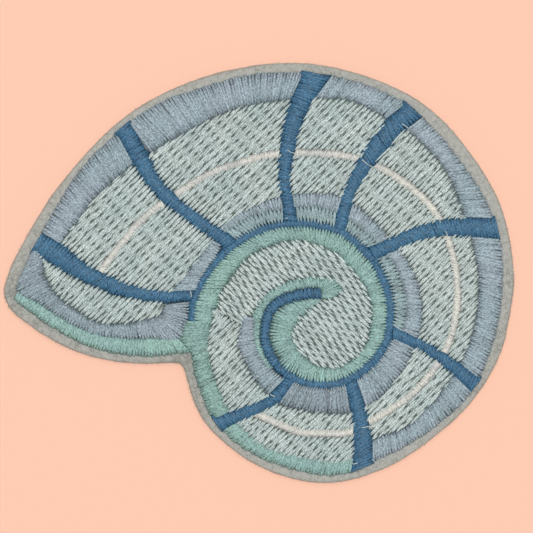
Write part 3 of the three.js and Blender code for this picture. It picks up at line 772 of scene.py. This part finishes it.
satinThread = {
    "width": 0.28, "height": 0.17, "points": 11, "sides": 6, "tip": 0.42, "uneven": 0.1,
    "wobble": 0.06, "tones": (0.0, 1.0),
}
fillThread = {
    **satinThread, "width": 0.27, "height": 0.19, "tip": 0.82, "points": 13, "uneven": 0.03,
}
satinRow = {
    "pitch": 0.15, "fewest": 4, "uneven": 0.02, "stray": 0.04, "low": rimEnd, "high": rimEnd,
    "top": 0.44, "shortTop": 0.18, "topPerSpan": 0.42, "topUneven": 0.04, "rise": 0.34,
    "lean": [0.0, 0.0],
}
# in both underlays, the last value is the share of painted shade, which shows in the gaps between
# threads
rowUnderlay = {
    "shares": [0.0, 0.12, 0.3, 0.5, 0.7, 0.88, 1.0], "height": 0.34, "heightPerWidth": 0.28,
    "roundness": 5.0, "inset": 0.02, "sink": 0.03, "depth": 0.2,
}
areaUnderlay = {"height": 0.19, "sink": 0.03, "depth": 0.35}
chamberFill = {
    "angle": 44.6, "rowPitch": 0.208, "stitch": 3.95, "shift": 1 / 3, "stray": 0.09,
    "holeStray": 0.07, "uneven": 0.014, "edgeGap": 0.7, "turn": 0.5, "shortest": 0.3,
    "top": 0.4, "shortTop": 0.22, "topPerSpan": 0.25, "topUneven": 0.06, "rise": 0.5,
    "edge": {**toothEnd, "height": 0.56, "shade": 0.1}, "hole": needleHole,
}
coreFill = {
    **chamberFill, "angle": -42.5, "rowPitch": 0.207, "stitch": 2.007, "shift": 0.328,
    "stray": 0.17, "edgeGap": 0.4, "holeStray": 0.11, "edge": {**toothEnd, "height": 0.5},
    "hole": {**needleHole, "shade": 0.6},
}
coreThread = {**fillThread, "width": 0.27, "height": 0.18, "tip": 0.7, "tones": (0.25, 1.2)}
bandThread = {**satinThread, "width": 0.275, "uneven": 0.08, "tones": (0.1, 1.1)}

rowSteps = np.linspace(0, 1, 160)
sideSteps = np.linspace(0, 1, 60)
seedStep = 1000
print("thread and stitch settings are ready")


def chamberRow(number, inner, outer, reach=0.0):
    return [chamberPoints(number, rowSteps, side, inner, outer, reach) for side in (0, 1)]


# a closed outline round part of a chamber, between two winding lines
def chamberOutline(number, inner, outer, reach):
    low, high = chamberRow(number, inner, outer, reach)
    end = chamberPoints(number, 1, sideSteps, inner, outer, reach)
    start = chamberPoints(number, 0, sideSteps, inner, outer, reach)
    return np.vstack([low, end, high[::-1], start[::-1]])


# one piece of satin: each run is its two edges and its row settings
def sewSatin(name, runs, colour, seed, thread=satinThread):
    stitches = []
    pads = []
    for place, (low, high, row) in enumerate(runs):
        stitches += satinStitches(low, high, {**satinRow, **row}, seed + seedStep * place)
        pads.append(rowPad(low, high, rowUnderlay))
    piece = sewPiece(f"{name}_stitches", stitches, [name], {**thread, "colour": colour}, seed)
    addPads(piece, pads, rowUnderlay["depth"])
    return piece


# how far a row runs on under a rib, and past the seam
bandReach = {"rib": 0.1, "seam": 0.9}


# one piece of satin across a chamber, between two winding lines
def sewChamber(name, number, sides, row, colour, seed, thread=satinThread, reach=bandReach["rib"]):
    edges = chamberRow(number, *sides, reach)
    return sewSatin(f"{name}_{number}", [(*edges, row)], colour, seed + number, thread)


# one piece of fill, inside one or more outlines
def sewFill(name, outlines, fill, seed, thread=fillThread):
    stitches = [stitch for outline in outlines for stitch in fillStitches(outline, fill, seed)]
    piece = sewPiece(f"{name}_stitches", stitches, [name], {**thread, "colour": "fill"}, seed)
    addPads(piece, [areaPad(outline, areaUnderlay) for outline in outlines], areaUnderlay["depth"])
    return piece


# Blue ribs and spiral

blueThread = {**satinThread, "width": 0.3, "tip": 0.45}
blueEnd = {**tuckedEnd, "over": 0.06, "height": 0.08, "shade": 0.5}
blueRow = {"pitch": 0.16, "top": 0.5, "low": blueEnd, "high": blueEnd, "rise": 0.42}
blueTooth = {**toothEnd, "over": 0.2, "height": 0.5, "shade": 0.3}
ribLeans = {1: [0.0, 0.2, 0.3, 0.2, 0.0], 3: [0.1, 0.5, 0.4, 0.0], 4: [0.1, 0.6, 0.6, 0.5, 0.2]}
ribEnds = {"out": 0.12, "in": 0.15}
for index, rib in enumerate(ribEdges):
    edges = []
    for side in ("early", "late"):
        sweeps = sweepOf(rib[side], rib["near"])
        radii = np.hypot(rib[side][:, 0], rib[side][:, 1])
        within = radii <= rimLine(sweeps) + ribEnds["out"]
        beyond = radii >= spiralRim(sweeps) - ribEnds["in"]
        edges.append(readLine(rib[side][within & beyond], rowSteps))
    row = {**blueRow, "lean": ribLeans.get(index + 1, satinRow["lean"])}
    sewSatin(f"rib_{index + 1}", [(*edges, row)], "blue", 100 + index, blueThread)

# the hook of the spiral lies over the green, and the rest under its neighbours' teeth
hookStart = 22 * stepsPerSpan
spiralEdges = [besideLine(spiral, side * spiralHalf) for side in (-1, 1)]
hookSlim = 0.66
slimEdges = [besideLine(spiral, side * spiralHalf * hookSlim) for side in (-1, 1)]
outerTurn = [edge[:hookStart + 1] for edge in spiralEdges]
hook = [edge[hookStart:] for edge in slimEdges]
hookTeeth = {**blueRow, "pitch": 0.17, "top": 0.54, "low": blueTooth, "high": blueTooth}
sewSatin("spiral_line", [(*outerTurn, blueRow), (*hook, hookTeeth)], "blue", 120, blueThread)
print("blue ribs and spiral are sewn")


# Satin bands

bandRow = {
    "low": {**rimEnd, "height": 0.1, "shade": 0.55},
    "high": {**rimEnd, "over": 0.0, "height": 0.06, "shade": 0.15},
    "uneven": 0.03,
}
innerTones = {8: (-0.5, 0.5)}
bandLeans = {3: [-0.3, -0.4, -0.3, 0.0]}
greenBandRow = {
    "low": {**tuckedEnd, "shade": 0.3}, "high": {**rimEnd, "over": 0.0, "shade": 0.3},
}
innerRow = {"top": 0.42, "pitch": 0.17, "high": tuckedEnd}
paleThread = {**satinThread, "tip": 0.8, "width": 0.27}
paleTip = {**toothEnd, "over": 0.45, "height": 0.5, "shade": 0.5}
paleRow = {"top": 0.46, "pitch": 0.19, "low": toothEnd, "high": paleTip}
for number in chamberEnds:
    if number < lastChamber:
        colour, row = ("seafoam", greenBandRow) if number == 8 else ("lavender", bandRow)
        row = {**row, "lean": bandLeans.get(number, satinRow["lean"])}
        sewChamber("outer_band", number, (fillOuterLine, rimLine), row, colour, 200, bandThread)
    paleBeside = 3 <= number <= 6
    row = {**innerRow, "low": tuckedEnd if paleBeside else toothEnd}
    reach = (bandReach["rib"], bandReach["seam" if number == lastChamber else "rib"])
    thread = {**satinThread, "tones": innerTones.get(number, satinThread["tones"])}
    sides = (paleRim, fillInnerLine)
    sewChamber("inner_band", number, sides, row, "lavender", 220, thread, reach)
    if paleBeside:
        sewChamber("pale_band", number, (spiralRim, paleRim), paleRow, "pale", 240, paleThread)
lipThread = {**satinThread, "tones": (0.5, 1.1)}
mouthThread = {**satinThread, "tones": (-0.2, 0.6)}
lipRow = {"top": 0.4, "low": {**rimEnd, "shade": 0.6}, "high": {**tuckedEnd, "over": 0.35}}
mouthTip = {**toothEnd, "over": 0.2, "height": 0.42}
mouthRow = {"top": 0.42, "low": mouthTip, "high": tuckedEnd}
leftRow = {"top": 0.42, "high": {**tuckedEnd, "shade": 0.4}}
leftThread = {**satinThread, "tones": (-0.4, 0.6)}
for name, sides, colour, row, thread, seed in (
    ("lip_band", lipBand, "seafoam", lipRow, lipThread, 268),
    ("mouth_band", mouthBand, "lavender", mouthRow, mouthThread, 270),
    ("outer_band_9", leftBand, "seafoam", leftRow, leftThread, 272),
):
    edges = [smoothLine(sides["low"]), smoothLine(sides["high"])]
    sewSatin(name, [(*edges, row)], colour, seed, thread)

# the green row inside the spiral, toothed on its outer turn and tucked under the hook
greenTurn = int(len(greenEdge) * hookStart / len(spiral))
greenRow = {"top": 0.44, "low": tuckedEnd, "high": toothEnd}
softEnd = {**tuckedEnd, "height": 0.1, "shade": 0.25}
crescentRow = {"top": 0.42, "low": softEnd, "high": softEnd, "pitch": 0.17}
facing = readLine(spiralEdges[0], np.linspace(0, 1, len(greenEdge)))
sewSatin("inner_whorl_green", [
    (greenEdge[:greenTurn + 1], facing[:greenTurn + 1], greenRow),
    (greenEdge[greenTurn:], facing[greenTurn:], crescentRow),
], "seafoam", 280)
hookEvery = stepsPerSpan // 2
hookLow = np.vstack([spiralEdges[1][hookStart::hookEvery], hookTurn["low"]])
hookRim = besideLine(spiral, spiralHalf + spiralPale)
hookHigh = np.vstack([hookRim[hookStart::hookEvery], hookTurn["high"]])
sewSatin("hook_green", [(smoothLine(hookLow), smoothLine(hookHigh), crescentRow)], "seafoam", 281)
print("satin bands are sewn")


# Pale fills and the cream line

creamHalf = 0.41
creamThread = {
    **satinThread, "width": 0.24, "height": 0.14, "tip": 0.25, "uneven": 0.03, "wobble": 0.02,
}
creamRow = {
    "top": 0.54, "pitch": 0.13, "shortTop": 0.4, "rise": 0.5, "stray": 0.03,
    "low": {"over": 0.0, "height": 0.34, "taper": 0.2, "shade": 0.1},
    "high": {"over": 0.0, "height": 0.3, "taper": 0.0, "shade": 1.0},
}
fillReach = {"rib": 0.26, "band": 0.16, "outer": {8: 0.35, 9: 0.3}}
creamUnder = {"low": 0.15, "high": 0.25}
for number in chamberEnds:
    inner = shifted(fillInnerLine, -fillReach["band"])
    outer = shifted(fillOuterLine, fillReach["outer"].get(number, 0.0))
    if number < lastChamber:
        below = shifted(creamLine, creamUnder["high"] - creamHalf)
        above = shifted(creamLine, creamUnder["low"])
        outlines = [chamberOutline(number, inner, below, fillReach["rib"]),
                    chamberOutline(number, above, outer, fillReach["rib"])]
        sides = [shifted(creamLine, side * creamHalf) for side in (-1, 1)]
        sewChamber("cream_line", number, sides, creamRow, "cream", 300, creamThread)
    else:
        outlines = [chamberOutline(number, inner, outer, fillReach["rib"])]
    sewFill(f"chamber_fill_{number}", outlines, chamberFill, 320 + number)

# the mouth's fill, from the band round it to under the first rib
mouthFill = {"shares": np.linspace(0.02, 0.94, 60), "under": 0.15}
mouthLower = readLine(smoothLine(mouthBand["high"]), mouthFill["shares"])
mouthUpper = ribEdges[0]["early"][::-1]
left, right = mouthLower[0, 0], mouthLower[-1, 0]
mouthUpper = mouthUpper[(mouthUpper[:, 0] > left) & (mouthUpper[:, 0] < right)]
mouthOutline = np.vstack([mouthLower, mouthUpper + [0, mouthFill["under"]]])
sewFill("chamber_fill_1", [mouthOutline], chamberFill, 319)

# the inner whorl's fill, from the green row round the hook to the seam with chamber 9
coreEdge = {"inset": 0.05, "seamSpan": 25.4}
hookOuter = besideLine(spiral, spiralHalf + spiralPale - coreEdge["inset"])
seamStep = int(coreEdge["seamSpan"] * stepsPerSpan)
core = np.vstack([greenEdge[stepsPerSpan:], fillRoundHook, hookOuter[seamStep:][::-1], fillSeam])
sewFill("inner_whorl_fill", [core], coreFill, 340, coreThread)
print("fills and cream line are sewn")


# Thread tails

# loose ends of pale thread on the blue ribs, and one loop, each as the points it runs through
tailCourses = [
    [(-3.75, 17.16), (-3.3, 16.9), (-2.87, 16.77)], [(-3.95, 10.5), (-3.7, 10.45)],
    [(7.5, 19.7), (7.9, 19.45), (8.2, 19.2)], [(3.6, 16.2), (4.2, 15.7), (4.87, 15.3)],
    [(11.05, 10.6), (11.2, 10.3), (11.25, 10.0)], [(5.95, 8.73), (6.2, 8.6), (6.34, 8.34)],
    [(11.73, 9.2), (11.9, 8.95), (11.93, 8.6)], [(3.6, -10.03), (4.0, -9.95), (4.48, -9.9)],
    [(2.42, -13.5), (2.8, -13.6), (3.1, -13.5)], [(4.58, -13.1), (5.0, -13.55), (4.77, -13.8)],
    [(-5.42, -6.75), (-5.2, -6.9), (-4.93, -6.95)], [(-13.25, 3.35), (-13.1, 3.0), (-13.15, 2.75)],
]
tailThread = {
    "width": 0.1, "height": 0.1, "points": 5, "sides": 6, "tip": 0.1, "uneven": 0.1,
    "wobble": 0.0, "tones": (0.8, 1.0), "colour": "fill",
}
tailEnd = {"height": 0.62, "taper": 0.2, "shade": 0.0}
tailArch = {"top": 0.65, "rise": 0.1}
holes = [np.array(pair) for course in tailCourses for pair in zip(course, course[1:])]
tails = [joinedEnds(*pair, tailArch["top"], tailArch["rise"], tailEnd, tailEnd) for pair in holes]
sewPiece("thread_tails", tails, [], tailThread, 350)
print("thread tails are laid")


# Felt and film

feltFinish = {
    "colour": (177, 177, 170), "cutShadeColour": (164, 160, 148), "grain": 2600.0, "grainShare": 1.3,
    "cloudScale": 260.0, "cloudShare": 0.2, "shares": (0.8, 1.16), "reliefDepth": 0.03 * mm,
    "reliefStrength": 0.9, "roughness": 0.95, "sheen": 0.2, "specular": 0.2,
}


def makeFeltMaterial(finish=feltFinish):
    material, tree = newMaterial("greyFelt")
    place = tree.place()
    grain = tree.noise(place, finish["grain"], 4.0)
    cloud = tree.noise(place, finish["cloudScale"])
    light = 0.5 + (grain - 0.5) * finish["grainShare"] + (cloud - 0.5) * finish["cloudShare"]
    # painted shade: the felt turns darker and warmer towards its rounded cut edge
    cut = tree.attribute("cut")
    dark, pale = [
        tree.mix(cut, linear(finish["colour"], share), linear(finish["cutShadeColour"], share))
        for share in finish["shares"]
    ]
    tree.shade({
        "Base Color": tree.mix(light.limited(), dark, pale), "Roughness": finish["roughness"],
        "Sheen Weight": finish["sheen"], "Specular IOR Level": finish["specular"],
        "Normal": tree.bump(grain, finish["reliefDepth"], finish["reliefStrength"]),
    })
    return material


# each ring round the felt's edge: how far it lies inside the cut, height, share of painted shade of
# the cut edge
feltShape = {
    "rings": [(0.1, 0.15, 1), (0.03, 0.3, 1), (0.0, 0.6, 1), (0.02, 0.95, 1), (0.08, 1.12, 0.7),
              (0.22, 1.19, 0.1)],
    "every": 3, "grid": 0.5, "gridGap": 0.25, "gridStray": 0.3, "bumpHeight": 0.035,
    "bumpSize": 0.9, "edgeRaggedness": 0.03, "seed": 410,
}


# which points lie inside a closed line
def isInside(points, outline):
    after = np.roll(outline, -1, axis=0)
    inside = np.zeros(len(points), bool)
    for a, b in zip(outline, after):
        crosses = (points[:, 1] < a[1]) != (points[:, 1] < b[1])
        rise = (b[1] - a[1]) or tiny
        inside ^= crosses & (points[:, 0] < a[0] + (points[:, 1] - a[1]) / rise * (b[0] - a[0]))
    return inside


# one face of the felt: its ring and loose points inside it, joined by triangles
def feltFace(ring, shape, draws):
    inner = besideLine(ring, -shape["gridGap"], closed=True)
    low, high = ring.min(axis=0), ring.max(axis=0)
    columns, rows = [np.arange(low[axis], high[axis], shape["grid"]) for axis in (0, 1)]
    grid = np.stack(np.meshgrid(columns, rows), axis=-1).reshape(-1, 2)
    stray = shape["gridStray"]
    grid = grid + draws.uniform(-stray, stray, grid.shape) * shape["grid"]
    grid = grid[isInside(grid, inner)]
    count = len(ring)
    corners = [Vector(point) for point in np.vstack([ring, grid])]
    sides = [(spot, (spot + 1) % count) for spot in range(count)]
    faces, origins = delaunay_2d_cdt(corners, sides, [], 1, tiny)[2:4]
    order = {index: origin[0] for index, origin in enumerate(origins) if origin}
    return grid, [[order[index] for index in face] for face in faces]


def makeFelt(shape=feltShape):
    draws = np.random.default_rng(shape["seed"])
    outline = feltCourse[::shape["every"]]
    count = len(outline)
    topLevel = len(shape["rings"]) - 1
    corners, shares, rings = [], [], []
    for level, (inset, height, share) in enumerate(shape["rings"]):
        ragged = draws.normal(0, shape["edgeRaggedness"], count)
        ragged = (ragged + np.roll(ragged, 1)) / 2
        if level in (0, topLevel):
            ragged = 0.0  # the lowest and the highest ring stay even
        ring = besideLine(outline, ragged - inset, closed=True)
        rings.append(ring)
        corners.append(np.column_stack([ring, np.full(count, height)]))
        shares.append(np.full(count, float(share)))
    faces = [(b, a, d, c) for a, b, c, d in ringFaces(len(rings), count)]
    flats = ((0, shape["rings"][0][1], 0.0, True), (topLevel, feltTop, shape["bumpHeight"], False))
    for level, height, bumpHeight, turned in flats:
        grid, triangleFaces = feltFace(rings[level], shape, draws)
        first = sum(len(part) for part in corners)
        places = [Vector((*point, 0.0)) / shape["bumpSize"] for point in grid]
        waves = np.array([noise.noise(place) for place in places]) * bumpHeight
        corners.append(np.column_stack([grid, height + waves]))
        shares.append(np.zeros(len(grid)))
        ringStart, gridStart = level * count, first - count
        for face in triangleFaces:
            spots = [index + (ringStart if index < count else gridStart) for index in face]
            faces.append(tuple(reversed(spots)) if turned else tuple(spots))
    mesh = bpy.data.meshes.new("felt_cloth")
    places = (np.vstack(corners) + [*spiralEye, 0.0]) * mm
    mesh.from_pydata(places.tolist(), [], faces)
    mesh.attributes.new("cut", "FLOAT", "POINT").data.foreach_set("value", np.concatenate(shares))
    mesh.shade_smooth()
    mesh.materials.append(threads["felt"])
    piece = addObject("felt_cloth", mesh)
    attach(piece, "felt", "felt_base")
    return piece


# short loose fibres on the bare strip of felt and round its cut edge
fibreThread = {
    "width": 0.026, "height": 0.022, "points": 5, "sides": 3, "tip": 0.2, "uneven": 0.25,
    "wobble": 0.25, "tones": (0.0, 1.0), "colour": "felt", "slot": "felt",
}
fibreLayout = {
    "strip": {"count": 5200, "inside": (0.05, 1.5), "length": (0.3, 0.9), "past": 0.05,
              "spread": math.pi, "top": (0.0, 0.05), "end": -0.06},
    "edge": {"count": 1800, "inside": (0.02, 0.2), "length": (0.1, 0.24), "past": math.inf,
             "spread": math.pi / 3, "top": (-0.4, 0.0), "end": -0.2},
    "taper": 0.5, "rise": 0.2, "seed": 420,
}


def feltFibres(layout=fibreLayout):
    draws = np.random.default_rng(layout["seed"])
    stitches = []
    for part in (layout["strip"], layout["edge"]):
        spots = draws.integers(0, len(feltCourse), part["count"])
        inside = draws.uniform(*part["inside"], part["count"])
        along = headingOf(feltCourse, closed=True)[spots]
        outward = leftOf(along)
        starts = feltCourse[spots] - outward * inside[:, None]
        angles = draws.uniform(-part["spread"], part["spread"], part["count"])
        lengths = draws.uniform(*part["length"], part["count"])
        turned = outward * np.cos(angles)[:, None] + along * np.sin(angles)[:, None]
        shorter = np.minimum(lengths, inside + part["past"])
        lengths = np.where(np.cos(angles) > 0, shorter, lengths)
        ends = starts + turned * lengths[:, None]
        tops = draws.uniform(*part["top"], part["count"])
        for start, end, top in zip(starts, ends, tops):
            style = {"height": min(part["end"], top), "taper": layout["taper"], "shade": 0.0}
            stitches.append(joinedEnds(start, end, top, layout["rise"], style, style))
    return stitches


filmFinish = {
    "dark": (196, 193, 184), "pale": (212, 209, 200), "grain": 900.0, "reliefDepth": 0.02 * mm,
    "reliefStrength": 0.6, "roughness": 0.3, "specular": 0.5,
}


def makeFilmMaterial(finish=filmFinish):
    material, tree = newMaterial("sealFilm")
    grain = tree.noise(tree.place(), finish["grain"], 3.0)
    tree.shade({
        "Base Color": tree.mix(grain, linear(finish["dark"]), linear(finish["pale"])),
        "Roughness": finish["roughness"], "Specular IOR Level": finish["specular"],
        "Normal": tree.bump(grain, finish["reliefDepth"], finish["reliefStrength"]),
    })
    return material


threads["felt"] = makeFeltMaterial()
felt = makeFelt()
fibres = sewPiece("felt_fibres", feltFibres(), [], fibreThread, 420)
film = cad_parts["heat_seal_film"]
film.data.materials.clear()
film.data.materials.append(makeFilmMaterial())
print("felt and film are finished")


# Floor, light and camera

# the photograph's ground shows next to no shadow, so most of the floor's colour is its own light
floorLook = {
    "half": 0.6, "drop": 0.02 * mm, "colour": (253, 203, 178), "lit": 0.3, "roughness": 0.9,
    "specular": 0.1,
}
floorMesh = bpy.data.meshes.new("floor")
half = floorLook["half"]
floorCorners = [(-half, -half, 0), (half, -half, 0), (half, half, 0), (-half, half, 0)]
floorMesh.from_pydata(floorCorners, [], [(0, 1, 2, 3)])
floor = addObject("floor", floorMesh)
floor.location.z = -floorLook["drop"]
floorMaterial, floorTree = newMaterial("peachFloor")
floorTree.shade({
    "Base Color": linear(floorLook["colour"], floorLook["lit"]),
    "Roughness": floorLook["roughness"], "Specular IOR Level": floorLook["specular"],
    "Emission Color": linear(floorLook["colour"]), "Emission Strength": 1 - floorLook["lit"],
})
floorMesh.materials.append(floorMaterial)

# soft lamps from above: the place that each lights from, its size and its power
lamps = {
    "keyLight": {"place": (0.03, 0.24, 1.2), "size": 0.6, "power": 7.9},
    "fillLight": {"place": (0.1, -0.3, 1.15), "size": 1.2, "power": 1.8},
}
worldStrength = 0.45
for name, lamp in lamps.items():
    data = bpy.data.lights.new(name, "AREA")
    data.shape = "DISK"
    data.size = lamp["size"]
    data.energy = lamp["power"]
    holder = addObject(name, data)
    holder.location = lamp["place"]
    holder.rotation_euler = (-Vector(lamp["place"])).to_track_quat("-Z", "Y").to_euler()
world = bpy.data.worlds.new("studio")
world.use_nodes = True
background = world.node_tree.nodes["Background"]
background.inputs["Color"].default_value = (1, 1, 1, 1)
background.inputs["Strength"].default_value = worldStrength
bpy.context.scene.world = world
bpy.context.scene.view_settings.view_transform = "Standard"

# straight down on the patch, with the photograph's margins round it
view = {
    "width": 52.2 * mm, "centre": (0.735 * mm, 0.637 * mm), "distance": 0.5, "top": 1.5 * mm,
    "sensor": 36.0,
}
camera = bpy.data.cameras.new("camera")
camera.sensor_width = view["sensor"]
camera.lens = view["sensor"] * view["distance"] / view["width"]
camera.clip_end = 10
cameraHolder = addObject("camera", camera)
cameraHolder.location = (*view["centre"], view["distance"] + view["top"])
bpy.context.scene.camera = cameraHolder


print("stitches hold", sum(triangles.values()), "triangles")
